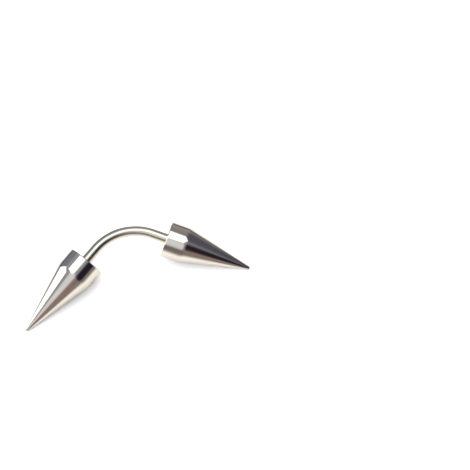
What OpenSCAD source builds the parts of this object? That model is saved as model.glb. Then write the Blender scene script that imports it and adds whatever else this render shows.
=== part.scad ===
// Curved barbell for an eyebrow piercing: a bent steel wire with a long spike screwed on each end.
// Millimetres, +Z up. It lies as it rests by itself, on the sides of both spikes, with the bend raised.
// X runs from the left spike to the right one and +Y towards the bend.
// The origin is on the surface that it lies on, under the middle of the whole piece.

/* [Curved bar] */
// Diameter of the round wire, 1.2 for the gauge that an eyebrow takes
wire_d = 1.2; // [1:0.1:1.6]
// Radius of the bend, to the middle of the wire
bend_r = 6; // [5:0.5:8]
// How far the bend turns on each side of its middle, in degrees
bend_half_deg = 35; // [28:1:45]
// Straight wire that shows between the bend and each spike
straight_len = 1.65; // [1:0.05:3]

/* [Threaded ends] */
// Length of the thread on each end of the wire
thread_len = 2.2; // [1.5:0.1:2.5]
// How much lower than the wire's surface the thread's crests lie
thread_step = 0.05; // [0.02:0.01:0.1]
// Length of the turned neck between the wire and its thread
neck_len = 0.3; // [0.2:0.05:0.5]
// How much lower than the wire's surface the neck lies
neck_step = 0.15; // [0.12:0.01:0.2]
// Bevel on the thread's free end
thread_bevel = 0.12; // [0.05:0.01:0.15]

/* [Spikes] */
// Diameter of the straight collar
spike_d = 4.3; // [3.4:0.1:4.6]
// Length from the base face to the tip
spike_len = 10.4; // [9:0.1:12]
// Length of the straight collar
collar_len = 2.25; // [1.5:0.05:2.5]
// Radius of the blunted tip
tip_r = 0.2; // [0.1:0.05:0.3]
// Bevel round the edge of the base face
rim_bevel = 0.08; // [0.04:0.01:0.15]
// How far the countersink reaches beyond the wire, on each side
sink_reach = 0.2; // [0.1:0.05:0.3]

/* [Fit] */
// Room round the thread in its hole, on each side
thread_room = 0.02; // [0.01:0.01:0.08]
// Room between the wire's shoulder and the countersink that it stops in
seat_room = 0.02; // [0.01:0.01:0.05]
// Empty depth of the hole beyond the thread's end
hole_spare = 0.4; // [0.2:0.1:0.6]

/* [Hidden] */
$fn = 96;

// The wire and its threaded ends.
// Each straight end is drawn a hair thinner than the bend and reaches a little way into it,
// so that the wire is one solid.
wire_r = wire_d / 2;
hair = 0.002;
straight_r = wire_r - hair;
join_len = 0.1;
thread_r = wire_r - thread_step;
neck_r = wire_r - neck_step;

// The spike's own sizes, measured along its axis from the base face towards the tip
spike_r = spike_d / 2;
tip_centre = spike_len - tip_r;
cone_run = tip_centre - collar_len;
cone_deg = atan(spike_r / cone_run) - asin(tip_r / norm([spike_r, cone_run]));
cone_end = tip_centre + tip_r * sin(cone_deg);

// The countersink slopes at 45 degrees, and the wire's shoulder stops just short of it
sink_r = wire_r + sink_reach;
shoulder_at = sink_reach - seat_room;
neck_end = shoulder_at + neck_len;
thread_end = neck_end + thread_len;

// The hole is drilled to a point with the usual 118 degrees
hole_r = thread_r + thread_room;
hole_depth = thread_end + hole_spare;
drill_half_deg = 59;
hole_point = hole_depth + hole_r / tan(drill_half_deg);

// The bend lies in a flat plane, with the middle of the chord between both base faces as its centre
base_x = bend_r * sin(bend_half_deg) + straight_len * cos(bend_half_deg);
bend_centre_y = straight_len * sin(bend_half_deg) - bend_r * cos(bend_half_deg);
bend_top_y = bend_centre_y + bend_r;

// At rest each cone lies along the surface, so its axis dips by the cone's own half angle.
// The dip sets how far the plane of the bend leans up, and how high the base faces are.
lean_deg = asin(sin(cone_deg) / sin(bend_half_deg));
chord_z = tip_r + tip_centre * sin(cone_deg);

// A cone lies on the line this far round its axis, from straight below the plane of the bend
rest_turn_deg = atan(tan(lean_deg) * cos(bend_half_deg));

// The origin lies half way between the back of the bend and the front of the tips
back_y = bend_top_y * cos(lean_deg) + wire_r;
front_y = -tip_centre * sin(bend_half_deg) * cos(lean_deg) - tip_r;
chord_y = -(back_y + front_y) / 2;

// Lifts what is drawn flat, in the plane of the bend, to where it rests
module as_it_rests() {
    translate([0, chord_y, chord_z])
        rotate([lean_deg, 0, 0])
            children();
}

// Turns what is drawn upwards from a base face to point along the right spike
module at_right_end() {
    translate([base_x, 0, 0])
        rotate([0, 90, -bend_half_deg])
            children();
}

// The same on the left
module at_left_end() {
    mirror([1, 0, 0])
        at_right_end()
            children();
}

// The part of the wire that is bent
module bend() {
    translate([0, bend_centre_y, 0])
        rotate([0, 0, 90 - bend_half_deg])
            rotate_extrude(angle = 2 * bend_half_deg)
                translate([bend_r, 0])
                    circle(r = wire_r);
}

// One straight end of the wire, with its shoulder, neck and thread
module threaded_end() {
    rotate_extrude()
        polygon([
            [0, -straight_len - join_len],
            [straight_r, -straight_len - join_len],
            [straight_r, shoulder_at],
            [neck_r, shoulder_at],
            [neck_r, neck_end],
            [thread_r, neck_end],
            [thread_r, thread_end - thread_bevel],
            [thread_r - thread_bevel, thread_end],
            [0, thread_end]
        ]);
}

// Half of the spike's cross-section, without the hole
module spike_profile() {
    polygon([
        [0, 0],
        [spike_r - rim_bevel, 0],
        [spike_r, rim_bevel],
        [spike_r, collar_len],
        [tip_r * cos(cone_deg), cone_end],
        [0, cone_end]
    ]);
    intersection() {
        translate([0, tip_centre])
            circle(r = tip_r);
        translate([0, cone_end])
            square(tip_r);
    }
}

// Half of the hole's cross-section: countersink, drilled wall and drill point
module hole_profile() {
    polygon([
        [0, 0],
        [sink_r, 0],
        [hole_r, sink_r - hole_r],
        [hole_r, hole_depth],
        [0, hole_point]
    ]);
}

// A spike is turned about its axis so that the line it lies on is a corner of its drawn round,
// not a flat between two corners. Both spikes then rest on true lines at the same height.
module spike() {
    rotate([0, 0, -rest_turn_deg])
        rotate_extrude()
            difference() {
                spike_profile();
                hole_profile();
            }
}

module curved_bar() {
    color("gainsboro")
        as_it_rests() {
            bend();
            at_left_end()
                threaded_end();
            at_right_end()
                threaded_end();
        }
}

module left_spike() {
    color("lightsteelblue")
        as_it_rests()
            at_left_end()
                spike();
}

module right_spike() {
    color("silver")
        as_it_rests()
            at_right_end()
                spike();
}

curved_bar();
left_spike();
right_spike();
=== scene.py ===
# %% [markdown]
# # A curved eyebrow barbell in polished steel
#
# The jewel is a bent steel wire with a long spike screwed onto each end. It lies on a white sheet,
# on the sides of both spikes, with the bend leaning up. The solids of the three pieces are given.
# They are right in size and place, but they are made of flats, and a mirror shows every flat.
# So each piece gets a finer skin here, worked out from the same few sizes, and a steel to go with it.

# %% Start from the solids
import math
from collections import namedtuple

import bpy
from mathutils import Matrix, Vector


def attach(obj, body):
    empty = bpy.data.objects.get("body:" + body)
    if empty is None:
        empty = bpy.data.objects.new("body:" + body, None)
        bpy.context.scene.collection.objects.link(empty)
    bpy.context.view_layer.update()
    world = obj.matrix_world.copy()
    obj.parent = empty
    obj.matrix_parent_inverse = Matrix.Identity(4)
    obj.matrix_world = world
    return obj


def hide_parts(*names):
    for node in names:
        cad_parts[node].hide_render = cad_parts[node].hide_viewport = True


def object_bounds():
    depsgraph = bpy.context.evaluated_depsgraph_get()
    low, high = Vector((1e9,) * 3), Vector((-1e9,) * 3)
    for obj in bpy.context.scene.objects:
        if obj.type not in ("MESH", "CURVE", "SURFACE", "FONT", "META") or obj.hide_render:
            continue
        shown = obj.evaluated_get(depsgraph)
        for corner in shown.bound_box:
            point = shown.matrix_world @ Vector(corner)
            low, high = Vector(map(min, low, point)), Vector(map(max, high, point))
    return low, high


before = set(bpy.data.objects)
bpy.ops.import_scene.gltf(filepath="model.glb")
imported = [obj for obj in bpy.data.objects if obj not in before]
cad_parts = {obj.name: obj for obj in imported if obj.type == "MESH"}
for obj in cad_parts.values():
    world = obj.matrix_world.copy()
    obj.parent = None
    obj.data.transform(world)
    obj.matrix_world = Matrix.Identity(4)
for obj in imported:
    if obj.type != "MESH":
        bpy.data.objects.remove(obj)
cad_low, cad_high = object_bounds()
print("the solids reach from", tuple(cad_low), "to", tuple(cad_high))

# %% [markdown]
# ## The sizes
#
# All sizes are in millimetres, as a jeweller would give them, and turn into metres only where a mesh
# is made. The first ones are the sizes that the solids were made from. The rest follow from them:
# the cone lies flat on the sheet, so its axis dips by the cone's own half angle, and that dip sets
# how far the flat plane of the bend leans up.

# %% Sizes of the wire and its threaded ends
MM = 0.001

WIRE_R = 0.6
BEND_R = 6.0
BEND_HALF = math.radians(35)
STRAIGHT_LEN = 1.65

THREAD_LEN = 2.2
THREAD_STEP = 0.05
THREAD_BEVEL = 0.12
NECK_LEN = 0.3
NECK_STEP = 0.15

thread_r = WIRE_R - THREAD_STEP
neck_r = WIRE_R - NECK_STEP
print("the thread is", round(2 * thread_r, 2), "mm across and the neck", round(2 * neck_r, 2))

# %% Sizes of a spike, measured from its base face
SPIKE_R = 2.15
SPIKE_LEN = 10.4
COLLAR_LEN = 2.25
TIP_R = 0.2
RIM_BEVEL = 0.08

tip_centre = SPIKE_LEN - TIP_R
cone_run = tip_centre - COLLAR_LEN
cone_angle = math.atan(SPIKE_R / cone_run) - math.asin(TIP_R / math.hypot(SPIKE_R, cone_run))
lean = math.asin(math.sin(cone_angle) / math.sin(BEND_HALF))
print("cone half angle", round(math.degrees(cone_angle), 2), "lean", round(math.degrees(lean), 2))

# %% Sizes of the joint, measured from the base face
SINK_REACH = 0.2
SEAT_ROOM = 0.02
THREAD_ROOM = 0.02
HOLE_SPARE = 0.4
DRILL_HALF = math.radians(59)

shoulder_at = SINK_REACH - SEAT_ROOM
neck_end = shoulder_at + NECK_LEN
thread_end = neck_end + THREAD_LEN
sink_r = WIRE_R + SINK_REACH
hole_r = thread_r + THREAD_ROOM
sink_depth = sink_r - hole_r
hole_depth = thread_end + HOLE_SPARE
hole_point = hole_depth + hole_r / math.tan(DRILL_HALF)
print("the thread ends", round(thread_end, 2), "mm in, and the hole", round(hole_point, 2), "mm in")

# %% [markdown]
# ## Where each piece lies
#
# The bend lies in a plane with two directions: `along`, from the left spike to the right one, and
# `rise`, towards the back of the bend. The middle of the chord between both base faces is the
# point that everything is measured from. The box round the solids says how far forward it is.
# The pieces could be drawn flat and tilted afterwards. Here every point is worked out where it lies,
# because the pieces have to stay in the same frame as the solids.

# %% The plane of the bend and the two ends
along = Vector((1, 0, 0))
rise = Vector((0, math.cos(lean), math.sin(lean)))
across = along.cross(rise)

base_x = BEND_R * math.sin(BEND_HALF) + STRAIGHT_LEN * math.cos(BEND_HALF)
bend_centre = STRAIGHT_LEN * math.sin(BEND_HALF) - BEND_R * math.cos(BEND_HALF)
chord_height = TIP_R + tip_centre * math.sin(cone_angle)
front_of_chord = tip_centre * math.sin(BEND_HALF) * math.cos(lean) + TIP_R
chord = Vector((0, cad_low.y / MM + front_of_chord, chord_height))


def end_of_bar(side):
    """The middle of a base face and the way that its spike points. side is -1 (left) or 1 (right)."""
    outwards = along * side * math.cos(BEND_HALF) - rise * math.sin(BEND_HALF)
    return chord + along * side * base_x, outwards


for side in (-1, 1):
    middle, outwards = end_of_bar(side)
    tip = middle + outwards * tip_centre
    print("side", side, "base at", tuple(round(v, 3) for v in middle), "tip height", round(tip.z, 3))

# %% [markdown]
# ## Outlines with rounded corners
#
# Polishing takes the sharpness off every edge, and a mirror shows that as a thin bright or dark line.
# A Bevel modifier could round the edges afterwards, but its rings don't know where the shape is
# meant to stay straight. Here an outline is a list of corners, each with its own small radius.
# A helper replaces each corner by an arc and sets one more point close to both ends of the arc, so
# that the shading stays true right up to it.

# %% A helper that rounds the corners of an outline
GUARD = 0.01
ARC_STEPS = 12


def rounded(corners):
    """Points of an outline. A corner is its distance along the axis, its distance from the axis
    and the size of its rounding."""
    points = [Vector(corners[0][:2])]
    for before, corner, after in zip(corners, corners[1:], corners[2:]):
        here = Vector(corner[:2])
        to_last = (Vector(before[:2]) - here).normalized()
        to_next = (Vector(after[:2]) - here).normalized()
        half_angle = to_last.angle(to_next) / 2
        size = corner[2]
        reach = size / math.tan(half_angle)
        centre = here + (to_last + to_next).normalized() * size / math.sin(half_angle)
        start = here + to_last * reach
        end = here + to_next * reach
        points.append(start + to_last * GUARD)
        for step in range(ARC_STEPS + 1):
            spoke = (start - centre).slerp(end - centre, step / ARC_STEPS)
            points.append(centre + spoke * size)
        points.append(end + to_next * GUARD)
    points.append(Vector(corners[-1][:2]))
    return points


square = rounded([(0, 0, 0), (1, 0, 0.1), (1, 1, 0)])
print("a rounded right angle has", len(square), "points")

# %% [markdown]
# ## Threads
#
# A thread is one groove that winds round the axis, so its depth depends on how far along and how far
# round a point lies. A boolean with a swept helix would cut it, but leaves ragged ends. Instead each
# point of a fine grid is moved in or out by the groove's depth there, and the groove fades in and
# out over one turn, as it does where the die starts and stops.

# %% Depth of a thread's groove
PITCH = 0.25
GROOVE = 0.12
RINGS_PER_TURN = 12
# These two make the flanks steeper than a plain vee's and leave a flat on the crest and at the root
FLANK = 1.35
CREST = 0.15


def groove(distance, turn, start, end):
    """Depth of a right-hand thread from start to end, at a distance along it and a turn round it."""
    if not start < distance < end:
        return 0.0
    phase = (distance / PITCH - turn) % 1.0
    vee = 1 - abs(2 * phase - 1)
    shape = min(1.0, max(0.0, vee * FLANK - CREST))
    fade = min(1.0, (distance - start) / PITCH, (end - distance) / PITCH)
    return GROOVE * shape * fade


def thread_steps(high, low):
    """Distances from high down to low, both left out, close enough together to carry a thread."""
    count = round((high - low) / PITCH * RINGS_PER_TURN)
    return [high + (low - high) * i / count for i in range(1, count)]


print("a thread of", THREAD_LEN, "mm has", round(THREAD_LEN / PITCH, 1), "turns")

# %% [markdown]
# ## A skin from rings
#
# All three pieces are round in section, so each one is a row of rings joined by faces and closed by
# one point at each end. The rings could come from a Screw modifier on an outline, but then the
# thread and the bend would need more modifiers. Rings from code can have any middle, tilt and radius.
# Each corner of a face also stores how far along and how far round it is, as a UV map. The turning
# marks in the steel follow those two numbers later.

# %% A ring and its points
SEGMENTS = 160
POLISHED = 0
CUT = 1


def smooth_wall(turn):
    """No change of radius, all round."""
    return 0.0


# The distance along the piece goes into the UV map. The finish says which steel the faces up to the
# ring get, and the change how much further out each of its points is.
Ring = namedtuple("Ring", "middle axis radius distance finish change", defaults=(POLISHED, smooth_wall))


def ring_points(ring):
    """The points of a ring, which lies square to its axis."""
    to_side = across.cross(ring.axis)
    for j in range(SEGMENTS):
        turn = j / SEGMENTS
        spoke = to_side * math.cos(math.tau * turn) + across * math.sin(math.tau * turn)
        yield (ring.middle + spoke * (ring.radius + ring.change(turn))) * MM


print("each ring has", SEGMENTS, "points")


# %% Faces over a row of rings
def strip(rings, j):
    """The faces of one narrow strip, from the first point to the last. With each face come its
    finish and the places along and round of its corners."""
    following = (j + 1) % SEGMENTS
    here = j / SEGMENTS
    there = (j + 1) / SEGMENTS
    start = rings[0].distance
    yield (0, 1 + following, 1 + j), rings[0].finish, ((start, here), (start, there), (start, here))
    low = 1
    for near, far in zip(rings, rings[1:]):
        high = low + SEGMENTS
        near_places = ((near.distance, here), (near.distance, there))
        far_places = ((far.distance, there), (far.distance, here))
        corners = (low + j, low + following, high + following, high + j)
        yield corners, far.finish, near_places + far_places
        low = high
    end = rings[-1].distance
    last_point = low + SEGMENTS
    places = ((end, here), (end, here), (end, there))
    yield (last_point, low + j, low + following), rings[-1].finish, places


def skin(name, rings, first, last, materials):
    """A closed mesh over the rings, from the point called first to the one called last."""
    points = [first * MM]
    for ring in rings:
        points.extend(ring_points(ring))
    points.append(last * MM)
    strips = [part for j in range(SEGMENTS) for part in strip(rings, j)]
    faces, finishes, places = zip(*strips)

    mesh = bpy.data.meshes.new(name)
    mesh.from_pydata(points, [], faces)
    mesh.polygons.foreach_set("material_index", finishes)
    layer = mesh.uv_layers.new(name="along_and_round")
    layer.data.foreach_set("uv", [number for face in places for place in face for number in place])
    for material in materials:
        mesh.materials.append(material)
    mesh.update()
    mesh.shade_smooth()
    piece = bpy.data.objects.new(name, mesh)
    bpy.context.scene.collection.objects.link(piece)
    print(name, "has", len(rings), "rings and", sum(len(face) - 2 for face in faces), "triangles")
    return piece


print("between two rings there are", SEGMENTS, "faces with four corners")

# %% [markdown]
# ## Shader sums
#
# A steel finish is mostly small sums: this noise, times that, plus a little. Every sum is a Math node
# with two links, and a page of those is hard to read. The class below wraps one output of a node, so
# that a sum can be written as a sum. Its method `node` makes any other node from its type, its
# settings and what goes into its sockets.

# %% A class for shader sums
class Flow:
    """A value that flows out of a shader node. Sums on it add Math nodes to the same tree."""

    def __init__(self, tree, socket=None):
        self.tree = tree
        self.socket = socket

    def node(self, kind, settings, sockets, output=0):
        """A new node in the same tree, as the flow out of one of its outputs."""
        made = self.tree.nodes.new(kind)
        for name, value in settings.items():
            setattr(made, name, value)
        for name, value in sockets.items():
            if isinstance(value, Flow):
                self.tree.links.new(value.socket, made.inputs[name])
            else:
                made.inputs[name].default_value = value
        return Flow(self.tree, made.outputs[output] if made.outputs else None)

    def output(self, which):
        """Another output of the same node, by its number or name."""
        return Flow(self.tree, self.socket.node.outputs[which])

    def math(self, operation, *values):
        """A Math node on these values."""
        return self.node("ShaderNodeMath", {"operation": operation}, dict(enumerate(values)))

    def __add__(self, other):
        return self.math("ADD", self, other)

    def __radd__(self, other):
        return self.math("ADD", other, self)

    def __rsub__(self, other):
        return self.math("SUBTRACT", other, self)

    def __mul__(self, other):
        return self.math("MULTIPLY", self, other)

    def __rmul__(self, other):
        return self.math("MULTIPLY", other, self)

    def step(self, low, high):
        """0 up to low, 1 from high on, and a soft rise in between."""
        settings = {"interpolation_type": "SMOOTHSTEP"}
        sockets = {"Value": self, "From Min": low, "From Max": high}
        return self.node("ShaderNodeMapRange", settings, sockets)

    def blend(self, first, second):
        """The first colour where this value is 0, and the second where it is 1."""
        # A Mix node has sockets for several kinds of value. Those for colours are 6 and 7, and output 2.
        sockets = {0: self, 6: first, 7: second}
        return self.node("ShaderNodeMix", {"data_type": "RGBA"}, sockets, output=2)


print("a Flow knows", [name for name in vars(Flow) if name[0] != "_"])


# %% Three small helpers for shaders
def empty_tree(owner):
    """A material's or world's nodes, cleared, as the start of a flow."""
    owner.use_nodes = True
    owner.node_tree.nodes.clear()
    return Flow(owner.node_tree)


def opaque(colour):
    """Three numbers as the four that a colour socket takes."""
    return (*colour, 1.0)


def noise(place, scale, detail, distortion=0.0):
    """Soft random hills from 0 to 1. place is the flow that says where a point lies."""
    sockets = {"Vector": place, "Scale": scale, "Detail": detail, "Distortion": distortion}
    return place.node("ShaderNodeTexNoise", {}, sockets)


print("opaque grey is", opaque((0.5, 0.5, 0.5)))

# %% [markdown]
# ## Polished steel
#
# The steel is a mirror, but not a perfect one. Four things give it away as metal. The buffing wheel
# leaves a slow waviness that bends the edges of reflections a little. The lathe, or the drawing of the
# wire, leaves hair-fine lines under the polish. Handling adds short scratches that point every way, and
# a cloth leaves faint smears, which are a touch duller and change the colour slightly.
# All of these could be painted as images, but noise has no seams and stays sharp at any distance.

# %% Lines and scratches
LINES_PER_MM = 7.0
HAIRS = 3.0
HAIR_STRETCH = 0.06
HAIR_FROM_TO = (0.74, 0.80)
SCRATCH_TURNS = (
    # turn about X, Y and Z in radians, and how fine
    (0.4, 1.1, 0.2, 1500.0),
    (1.9, 0.3, 0.8, 1900.0),
    (2.7, 2.0, 1.4, 1300.0),
)


def turning_lines(start):
    """Hair-fine lines that run round the axis."""
    marks = start.node("ShaderNodeUVMap", {"uv_map": "along_and_round"}, {})
    distance = start.node("ShaderNodeSeparateXYZ", {}, {"Vector": marks})
    angle = distance.output("Y") * math.tau
    # On a circle the lines meet without a seam
    circle = {"Y": angle.math("COSINE", angle), "Z": angle.math("SINE", angle)}
    line_place = start.node("ShaderNodeCombineXYZ", {}, {"X": distance * LINES_PER_MM, **circle})
    return noise(line_place, scale=1.0, detail=4.0)


def handling_scratches(place):
    """Short hairs that point every way: 1 on a scratch and 0 beside it."""
    scratches = 0.0
    for x, y, z, scale in SCRATCH_TURNS:
        stretch = (scale, scale * HAIR_STRETCH, scale)
        sockets = {"Vector": place, "Rotation": (x, y, z), "Scale": stretch}
        stretched = place.node("ShaderNodeMapping", {}, sockets)
        scratches = scratches + noise(stretched, HAIRS, detail=0.0).step(*HAIR_FROM_TO)
    return scratches


print("scratches point in", len(SCRATCH_TURNS), "directions")

# %% The steel
WAVES_PER_M = 900.0
SMEARS_PER_M = 500.0
SMEAR_TWIST = 0.8
SMEARS_FROM_TO = (0.42, 0.75)
# What the polish is multiplied by where the steel is clean, and what smears and lines add to that
CLEAN = 0.75
SMEARED = 0.9
LINED = 0.5
# The roughness that a scratch adds
SCRATCHED = 0.06
# How dark a smear is, and how much of it shows
SMEAR_SHADE = 0.93
SMEAR_SHARE = 0.6


def steel(name, colour, polish, wave, line, scratch):
    """A steel. polish is the roughness of its mirror. wave, line and scratch are depths in metres."""
    material = bpy.data.materials.new(name)
    start = empty_tree(material)
    place = start.node("ShaderNodeTexCoord", {}, {}, output="Object")
    waves = noise(place, WAVES_PER_M, detail=1.0)
    smears = noise(place, SMEARS_PER_M, detail=5.0, distortion=SMEAR_TWIST)
    lines = turning_lines(start)
    scratches = handling_scratches(place)

    dull = smears.step(*SMEARS_FROM_TO)
    roughness = polish * (CLEAN + dull * SMEARED + lines * LINED) + scratches * SCRATCHED
    tint = (dull * SMEAR_SHARE).blend(opaque(colour), opaque([SMEAR_SHADE * part for part in colour]))

    wavy = start.node("ShaderNodeBump", {}, {"Distance": wave, "Height": waves})
    lined = start.node("ShaderNodeBump", {}, {"Distance": line, "Height": lines, "Normal": wavy})
    sockets = {"Distance": scratch, "Height": scratches, "Normal": lined}
    marked = start.node("ShaderNodeBump", {"invert": True}, sockets)
    sockets = {"Base Color": tint, "Metallic": 1.0, "Roughness": roughness, "Normal": marked}
    surface = start.node("ShaderNodeBsdfPrincipled", {}, sockets)
    start.node("ShaderNodeOutputMaterial", {}, {"Surface": surface})
    print(name, "has", len(material.node_tree.nodes), "nodes")
    return material


print("clean steel has", CLEAN, "of its polish's roughness, and a full smear adds", SMEARED)

# %% The three steels: of the spikes, of the wire and of the threads
turned_steel = steel(
    "turned_polished_steel", (0.76, 0.715, 0.65), polish=0.03, wave=3e-6, line=2e-7, scratch=2.5e-7
)
drawn_steel = steel(
    "drawn_polished_steel", (0.72, 0.67, 0.60), polish=0.14, wave=2e-6, line=1.5e-7, scratch=1e-7
)
cut_steel = steel(
    "cut_thread_steel", (0.60, 0.57, 0.53), polish=0.16, wave=2e-6, line=1.5e-6, scratch=4e-7
)

# %% [markdown]
# ## The spikes
#
# A spike is turned on a lathe: a short collar, then a long cone to a blunted tip. Its flat base has a
# tapped hole with a small countersink, where the wire goes in. Buffing has rolled the edge between
# collar and cone over a good deal, which is why a bright reflection on the collar ends in round
# corners. A Spin of an outline would give the shape. Here the same outline gives the rings, because
# the hole then gets its thread in the same go. It starts at the bottom of the hole, comes out, and
# goes on to the tip.

# %% The outline of a spike, up to the cone
SHOULDER_ROUNDING = 2.2
RIM_ROUNDING = 0.03
FINE_ROUNDING = 0.02
TAP_RUN_IN = 0.06
TAP_RUN_OUT = 0.1
TAPPED_FROM = sink_depth + TAP_RUN_IN
TAPPED_TO = hole_depth - TAP_RUN_OUT

hole_bottom = rounded([
    (hole_point, 0, 0),
    (hole_depth, hole_r, FINE_ROUNDING),
    (TAPPED_TO, hole_r, 0),
])
face_and_collar = rounded([
    (TAPPED_FROM, hole_r, 0),
    (sink_depth, hole_r, FINE_ROUNDING),
    (0, sink_r, FINE_ROUNDING),
    (0, SPIKE_R - RIM_BEVEL, RIM_ROUNDING),
    (RIM_BEVEL, SPIKE_R, RIM_ROUNDING),
    (COLLAR_LEN, SPIKE_R, SHOULDER_ROUNDING),
    (tip_centre + TIP_R / math.sin(cone_angle), 0, 0),
])
print("the outline has", len(hole_bottom) + len(face_and_collar), "points up to the cone")

# %% The outline of the cone and the tip
CONE_STEPS = 48
TIP_STEPS = 20

cone_start = face_and_collar[-2]
cone_end = Vector((tip_centre + TIP_R * math.sin(cone_angle), TIP_R * math.cos(cone_angle)))
taper = cone_end.y / cone_start.y
# The rings get closer together as the cone gets thinner, so that their faces keep their proportions
shares = [(1 - taper ** (i / CONE_STEPS)) / (1 - taper) for i in range(1, CONE_STEPS)]
cone = [cone_start.lerp(cone_end, share) for share in shares]

tip_angles = [cone_angle + (math.pi / 2 - cone_angle) * i / TIP_STEPS for i in range(TIP_STEPS)]
tip_arc = [Vector((tip_centre + TIP_R * math.sin(a), TIP_R * math.cos(a))) for a in tip_angles]
print("the cone runs from", round(cone_start.x, 2), "to", round(cone_end.x, 2), "mm from the base")


# %% Both spikes
def tapped(distance):
    """How far out the hole's wall is, all round, at a distance from the base."""

    def change(turn):
        return groove(distance, turn, TAPPED_FROM, TAPPED_TO)

    return change


def spike(name, side):
    """A spike on one end of the bar."""
    middle, outwards = end_of_bar(side)
    rings = []
    for point in hole_bottom[1:-1]:
        rings.append(Ring(middle + outwards * point.x, outwards, point.y, point.x, CUT))
    for distance in thread_steps(TAPPED_TO, TAPPED_FROM):
        centre = middle + outwards * distance
        rings.append(Ring(centre, outwards, hole_r, distance, CUT, tapped(distance)))
    for point in face_and_collar[:-1] + cone + tip_arc:
        finish = CUT if point.y < hole_r + GUARD and point.x < COLLAR_LEN else POLISHED
        rings.append(Ring(middle + outwards * point.x, outwards, point.y, point.x, finish))
    first = middle + outwards * hole_point
    last = middle + outwards * SPIKE_LEN
    return skin(name, rings, first, last, [turned_steel, cut_steel])


for side, word in ((-1, "left"), (1, "right")):
    made = spike(word + "_spike_polished", side)
    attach(made, word + "_end")
    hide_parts(word + "_spike")

# %% [markdown]
# ## The bar
#
# The bar is one length of wire: bent in the middle, straight at both ends, and turned down there to a
# neck and a thread. A curve with a round bevel would give the bend in one step, but not the
# shoulders and threads. The same rings do all of it. On the ends they follow an outline, and round
# the bend they turn with it.

# %% The outline of an end of the bar
END_ROUNDING = 0.02
RUN_OUT = 0.05
CUT_FROM = neck_end + RUN_OUT
CUT_TO = thread_end - THREAD_BEVEL - RUN_OUT

post_end = rounded([
    (thread_end, 0, 0),
    (thread_end, thread_r - THREAD_BEVEL, END_ROUNDING),
    (thread_end - THREAD_BEVEL, thread_r, END_ROUNDING),
    (CUT_TO, thread_r, 0),
])
neck_and_shoulder = rounded([
    (CUT_FROM, thread_r, 0),
    (neck_end, thread_r, END_ROUNDING),
    (neck_end, neck_r, END_ROUNDING),
    (shoulder_at, neck_r, END_ROUNDING),
    (shoulder_at, WIRE_R, END_ROUNDING),
    (-STRAIGHT_LEN, WIRE_R, 0),
])
half_wire = BEND_R * BEND_HALF + STRAIGHT_LEN
print("from base face to base face the wire is", round(2 * half_wire, 2), "mm long")


# %% Rings of the bar
def thread_cut(distance, side):
    """How far in the post's wall is, all round, at a distance from the base."""

    def change(turn):
        # All rings of the bar turn the same way, so on the left the turn counts backwards
        return -groove(distance, side * turn, CUT_FROM, CUT_TO)

    return change


def bar_end(side):
    """Rings from the thread's free end up to the bend, in order from the end."""
    middle, outwards = end_of_bar(side)
    outline = [(point, CUT, smooth_wall) for point in post_end[1:-1]]
    for distance in thread_steps(CUT_TO, CUT_FROM):
        outline.append((Vector((distance, thread_r)), CUT, thread_cut(distance, side)))
    for point in neck_and_shoulder[:-1]:
        finish = CUT if point.x > shoulder_at else POLISHED
        outline.append((point, finish, smooth_wall))
    axis = outwards * side
    return [
        Ring(middle + outwards * point.x, axis, point.y, side * (half_wire + point.x), finish, change)
        for point, finish, change in outline
    ]


BEND_STEPS = 120


def bend():
    """Rings round the bend, from left to right."""
    centre = chord + rise * bend_centre
    rings = []
    for i in range(BEND_STEPS + 1):
        angle = BEND_HALF * (2 * i / BEND_STEPS - 1)
        spoke = along * math.sin(angle) + rise * math.cos(angle)
        axis = along * math.cos(angle) - rise * math.sin(angle)
        rings.append(Ring(centre + spoke * BEND_R, axis, WIRE_R, BEND_R * angle))
    return rings


print("an end of the bar has", len(bar_end(1)), "rings and the bend", len(bend()))

# %% The bar
left_middle, left_outwards = end_of_bar(-1)
right_middle, right_outwards = end_of_bar(1)
bar = skin(
    "curved_bar_polished",
    bar_end(-1) + bend() + bar_end(1)[::-1],
    left_middle + left_outwards * thread_end,
    right_middle + right_outwards * thread_end,
    [drawn_steel, cut_steel],
)
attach(bar, "bar")
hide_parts("curved_bar")

# %% [markdown]
# ## The camera
#
# The photograph looks down at the jewel from the left front, 59 degrees above the sheet. A camera can
# be aimed with a Track To constraint, but this one is turned in code to look from its place to
# the point that it is aimed at, so that nothing holds it when another view moves it. It is only
# ten centimetres away, so it has to show what is near. The lens and the sensor are in millimetres,
# as on a real camera.

# %% The camera
CAMERA_AT = Vector((-3.469, -50.804, 89.779)) * MM
AIM_AT = Vector((13.07, 1.125, 0.0)) * MM
LENS = 66.614
SENSOR = 36
NEAREST = 0.001

camera_data = bpy.data.cameras.new("camera")
camera_data.lens = LENS
camera_data.sensor_width = SENSOR
camera_data.clip_start = NEAREST
camera = bpy.data.objects.new("camera", camera_data)
camera.location = CAMERA_AT
camera.rotation_euler = (AIM_AT - CAMERA_AT).to_track_quat("-Z", "Y").to_euler()
bpy.context.scene.collection.objects.link(camera)
bpy.context.scene.camera = camera
print("the camera is", round((AIM_AT - CAMERA_AT).length / MM, 1), "mm from the point it looks at")

# %% [markdown]
# ## A map of the sky
#
# A mirror has no look of its own: it shows the room. So the light is set by where it lies in the sky
# above the jewel. The sky could be an image, but numbers are easier to move about. A direction is
# given in degrees from straight up, to the right as this camera sees it and away from it. Straight
# up is (0, 0), the camera itself is at about (0, -31), and the horizon is 90 away all round.
# The map is fixed to the sheet. It stays where it is when another view moves the camera.

# %% Directions in the sky
UP = Vector((0, 0, 1))
level_view = (AIM_AT - CAMERA_AT) * Vector((1, 1, 0))
away = level_view.normalized()
rightwards = away.cross(UP)


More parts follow.
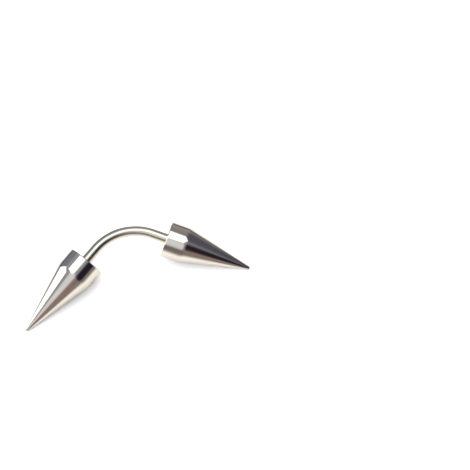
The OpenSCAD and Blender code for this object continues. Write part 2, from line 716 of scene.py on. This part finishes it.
def sky(right_deg, away_deg):
    """A direction in the sky, from its degrees to the right and away from the camera."""
    from_top = math.radians(math.hypot(right_deg, away_deg))
    level = rightwards * right_deg + away * away_deg
    return level.normalized() * math.sin(from_top) + UP * math.cos(from_top)


print("the camera's side of the sky is at", tuple(round(v, 2) for v in sky(0, -31)))

# %% [markdown]
# ## The sheet underneath
#
# The jewel lies on smooth white paper. In the light it is as white as the picture can show, so its
# faint grain is seen only where a shadow falls. The jewel mirrors the paper on its undersides, which
# is where the steel looks cream. A plain white plane would do for the camera, but not for the mirror:
# the real sheet is small, and a ray that leaves the steel at a flat angle passes its edge and meets
# what lies beyond. So for mirrored rays the paper's colour is painted: a warm white where they come
# down steeply, and a painted dark shade where they come in flat, brownish in front and bluish behind,
# which stands in for the shade of what lies beyond. Where the steel throws the paper's own light back
# onto it, the paper's colour is painted dim, a painted shade that keeps the shadow at the jewel's foot
# deep.

# %% The paper
PAPER_HALF = 1.5
SQUARE = ((-1, -1), (1, -1), (1, 1), (-1, 1))
ONE_FACE = ((0, 1, 2, 3),)

paper_mesh = bpy.data.meshes.new("paper")
paper_mesh.from_pydata([(x * PAPER_HALF, y * PAPER_HALF, 0) for x, y in SQUARE], [], ONE_FACE)
paper = bpy.data.objects.new("paper", paper_mesh)
bpy.context.scene.collection.objects.link(paper)
print("the paper is", 2 * PAPER_HALF, "m wide")

# %% What the camera and the light see of the paper
GRAIN_PER_M = 2500.0
GRAIN_DARK = (0.93, 0.93, 0.93)
GRAIN_LIGHT = (0.96, 0.955, 0.95)
TOOTH_DEPTH = 1e-5

white_paper = bpy.data.materials.new("white_paper")
start = empty_tree(white_paper)
place = start.node("ShaderNodeTexCoord", {}, {}, output="Object")
grain = noise(place, GRAIN_PER_M, detail=3.0)
white = grain.blend(opaque(GRAIN_DARK), opaque(GRAIN_LIGHT))
tooth = start.node("ShaderNodeBump", {}, {"Distance": TOOTH_DEPTH, "Height": grain})
print("the grain is about", 1 / GRAIN_PER_M / MM, "mm wide")

# %% What mirrored rays see of the paper
# Painted colours of the paper that only mirrored rays see, in place of its white: a warm near white, a
# painted dim shade for light bounced back, and painted dark far shades
FLAT_FROM_TO = (0.45, 0.90)
BEHIND_FROM_TO = (-5 * MM, 5 * MM)
PAINTED_NEAR_SHADE = (0.72, 0.695, 0.665)
PAINTED_BOUNCE_SHADE = (0.16, 0.15, 0.14)
PAINTED_FAR_SHADE_FRONT = (0.13, 0.115, 0.105)
PAINTED_FAR_SHADE_BEHIND = (0.038, 0.042, 0.06)

settings = {"operation": "DOT_PRODUCT"}
behind = start.node("ShaderNodeVectorMath", settings, {0: place, 1: away}, output="Value")
painted_far_shade = behind.step(*BEHIND_FROM_TO).blend(opaque(PAINTED_FAR_SHADE_FRONT), opaque(PAINTED_FAR_SHADE_BEHIND))
path = start.node("ShaderNodeLightPath", {}, {})
# Light that the steel throws back onto the paper finds it in a painted dim shade, which deepens the
# shadow at the jewel's foot
painted_near_shade = path.output("Diffuse Depth").blend(opaque(PAINTED_NEAR_SHADE), opaque(PAINTED_BOUNCE_SHADE))
flatness = start.node("ShaderNodeLayerWeight", {}, {"Blend": 0.5}, output="Facing")
# At flat angles the mirrored paper gets the painted dark far shade, brownish in front and bluish behind
painted_mirror_shade = flatness.step(*FLAT_FROM_TO).blend(painted_near_shade, painted_far_shade)
shade = path.output("Is Glossy Ray").blend(white, painted_mirror_shade)

sockets = {"Base Color": shade, "Roughness": 0.8, "Specular IOR Level": 0.2, "Normal": tooth}
surface = start.node("ShaderNodeBsdfPrincipled", {}, sockets)
start.node("ShaderNodeOutputMaterial", {}, {"Surface": surface})
paper_mesh.materials.append(white_paper)
print("the paper's material has", len(white_paper.node_tree.nodes), "nodes")

# %% [markdown]
# ## The room
#
# Outside the lamps the steel mirrors a room. It is grey all round, bluer and darker at the left
# behind, warmer at the right behind, dark on the right and almost black at the right front. Low in
# front it is brown, and in front near the camera it is bright. An image of a room would do this
# best, but a few soft patches of colour in the world's nodes are enough for shapes this small.
# Only mirrored rays see this room.
#
# The light that falls on the paper comes from a plainer sky: brighter from above, from the front and
# from the left, and dark on the right. It sets how deep the shadows are and which way they are
# tinted. The camera sees a plain pale grey, which shows only in views from near the horizon.

# %% The world
world = bpy.data.worlds.new("room")
bpy.context.scene.world = world
start = empty_tree(world)
ray = start.node("ShaderNodeTexCoord", {}, {}, output="Generated")


def with_patch(light, right_deg, away_deg, full, gone, colour):
    """A light with one round patch of another colour in it."""
    sockets = {0: ray, 1: sky(right_deg, away_deg)}
    closeness = ray.node("ShaderNodeVectorMath", {"operation": "DOT_PRODUCT"}, sockets, output="Value")
    patch = closeness.step(math.cos(math.radians(gone)), math.cos(math.radians(full)))
    return patch.blend(light, opaque(colour))


print("the room is called", world.name)

# %% The room that the steel mirrors
GREY_ROOM = (0.345, 0.36, 0.405)
ROOM_PATCHES = (
    # right, away, full inside, gone outside, colour
    (-54, 59, 20, 46, (0.21, 0.23, 0.30)),
    (30, 62, 17, 36, (0.34, 0.32, 0.30)),
    (65, 19, 20, 50, (0.10, 0.095, 0.13)),
    (16, -89, 27, 34, (0.335, 0.245, 0.222)),
    (-14, -92, 14, 30, (0.20, 0.175, 0.165)),
    (-6, -51, 5, 17, (0.70, 0.70, 0.72)),
    (-7, -35, 11.5, 24, (0.81, 0.84, 0.88)),
    (46, -45, 11.5, 31, (0.021, 0.016, 0.024)),
)

room = opaque(GREY_ROOM)
for patch in ROOM_PATCHES:
    room = with_patch(room, *patch)
print("the room has", len(ROOM_PATCHES), "patches")

# %% The sky that lights the paper
HEIGHT_FROM_TO = (0.0, 0.8)
SKY_LOW = (1.20, 1.22, 1.32)
SKY_HIGH = (2.72, 2.68, 2.56)
SKY_PATCHES = (
    # right, away, full inside, gone outside, colour
    (-70, 5, 10, 50, (2.30, 2.50, 2.85)),
    (-28, -58, 12, 46, (3.05, 3.14, 3.36)),
    (67, -17, 18, 58, (0.10, 0.07, 0.03)),
)

height = start.node("ShaderNodeSeparateXYZ", {}, {"Vector": ray}, output="Z")
plain_sky = height.step(*HEIGHT_FROM_TO).blend(opaque(SKY_LOW), opaque(SKY_HIGH))
for patch in SKY_PATCHES:
    plain_sky = with_patch(plain_sky, *patch)
print("the plain sky has", len(SKY_PATCHES), "patches")

# %% Who sees which
SEEN_BACKDROP = (0.86, 0.87, 0.89)

path = start.node("ShaderNodeLightPath", {}, {})
seen_or_sky = path.output("Is Camera Ray").blend(plain_sky, opaque(SEEN_BACKDROP))
light = path.output("Is Glossy Ray").blend(seen_or_sky, room)
background = start.node("ShaderNodeBackground", {}, {"Color": light, "Strength": 1.0})
start.node("ShaderNodeOutputWorld", {}, {"Surface": background})
print("the world has", len(world.node_tree.nodes), "nodes")

# %% [markdown]
# ## Two soft lamps
#
# A wide soft box hangs straight above, turned by a third of a right angle, and a window-like one
# stands on the left and reaches down past the sheet. They are what makes the long white highlights,
# and they light the paper too. Area lamps would do, but their edges are always sharp. A glowing panel
# can fade at its rim, as the cloth of a soft box does. The panels are hidden from the camera, so
# no view shows them, and they don't hold back the light of the sky behind them.

# %% A glowing panel
def rim_fade(start, fade):
    """0 at the rim of a panel and 1 from a share of its width inwards."""
    marks = start.node("ShaderNodeUVMap", {"uv_map": "rim"}, {})
    x = start.node("ShaderNodeSeparateXYZ", {}, {"Vector": marks})
    y = x.output("Y")
    from_rim = x.math("MINIMUM", x.math("MINIMUM", x, 1 - x), x.math("MINIMUM", y, 1 - y))
    return from_rim.step(0.0, fade)


def panel(name, centre, to_right, to_top, size, strength, fade, tint):
    """A panel. size is its width and height in metres, and fade the share of it that dims at the rim."""
    half_right = to_right.normalized() * size[0] / 2
    half_top = to_top.normalized() * size[1] / 2
    mesh = bpy.data.meshes.new(name)
    mesh.from_pydata([centre + half_right * x + half_top * y for x, y in SQUARE], [], ONE_FACE)
    layer = mesh.uv_layers.new(name="rim")
    layer.data.foreach_set("uv", [0, 0, 1, 0, 1, 1, 0, 1])
    made = bpy.data.objects.new(name, mesh)
    bpy.context.scene.collection.objects.link(made)
    made.visible_camera = False
    made.visible_shadow = False

    glow = bpy.data.materials.new(name)
    start = empty_tree(glow)
    shown = rim_fade(start, fade)
    lit = start.node("ShaderNodeEmission", {}, {"Color": opaque(tint), "Strength": strength})
    clear = start.node("ShaderNodeBsdfTransparent", {}, {})
    mixed = start.node("ShaderNodeMixShader", {}, {0: shown, 1: clear, 2: lit})
    start.node("ShaderNodeOutputMaterial", {}, {"Surface": mixed})
    mesh.materials.append(glow)
    print(name, "is", [round(s, 2) for s in size], "m")


print("a panel has", len(SQUARE), "corners and", len(ONE_FACE), "face")

# %% The soft box above
OVERHEAD = 0.8
OVERHEAD_TURN = math.radians(30)
# Shares of the height, so that the lamp fills the same part of the sky at any height
OVERHEAD_SHIFT = (0.073, -0.039)
OVERHEAD_SIZE = (1.046, 0.818)

long_way = rightwards * math.cos(OVERHEAD_TURN) + away * math.sin(OVERHEAD_TURN)
short_way = UP.cross(long_way)
shift = long_way * OVERHEAD_SHIFT[0] + short_way * OVERHEAD_SHIFT[1]
panel(
    "soft_box_above",
    UP * OVERHEAD + shift * OVERHEAD,
    long_way,
    short_way,
    size=(OVERHEAD_SIZE[0] * OVERHEAD, OVERHEAD_SIZE[1] * OVERHEAD),
    strength=1.6,
    fade=0.03,
    tint=(1.0, 1.0, 1.0),
)

# %% The soft box on the left
LEFT_DISTANCE = 0.9
LEFT_HEIGHT = 0.42
LEFT_AWAY = 0.035

left_way = (away * LEFT_AWAY - rightwards).normalized()
panel(
    "soft_box_left",
    left_way * LEFT_DISTANCE + UP * LEFT_HEIGHT,
    left_way.cross(UP),
    UP,
    size=(0.89, 1.2),
    strength=1.7,
    fade=0.08,
    tint=(0.96, 0.99, 1.0),
)

# %% [markdown]
# ## Hand it over
#
# The colours go to the picture as they are, with no film look, because the photograph has none.

# %% Colours
scene = bpy.context.scene
scene.view_settings.view_transform = "Standard"
scene.view_settings.look = "None"
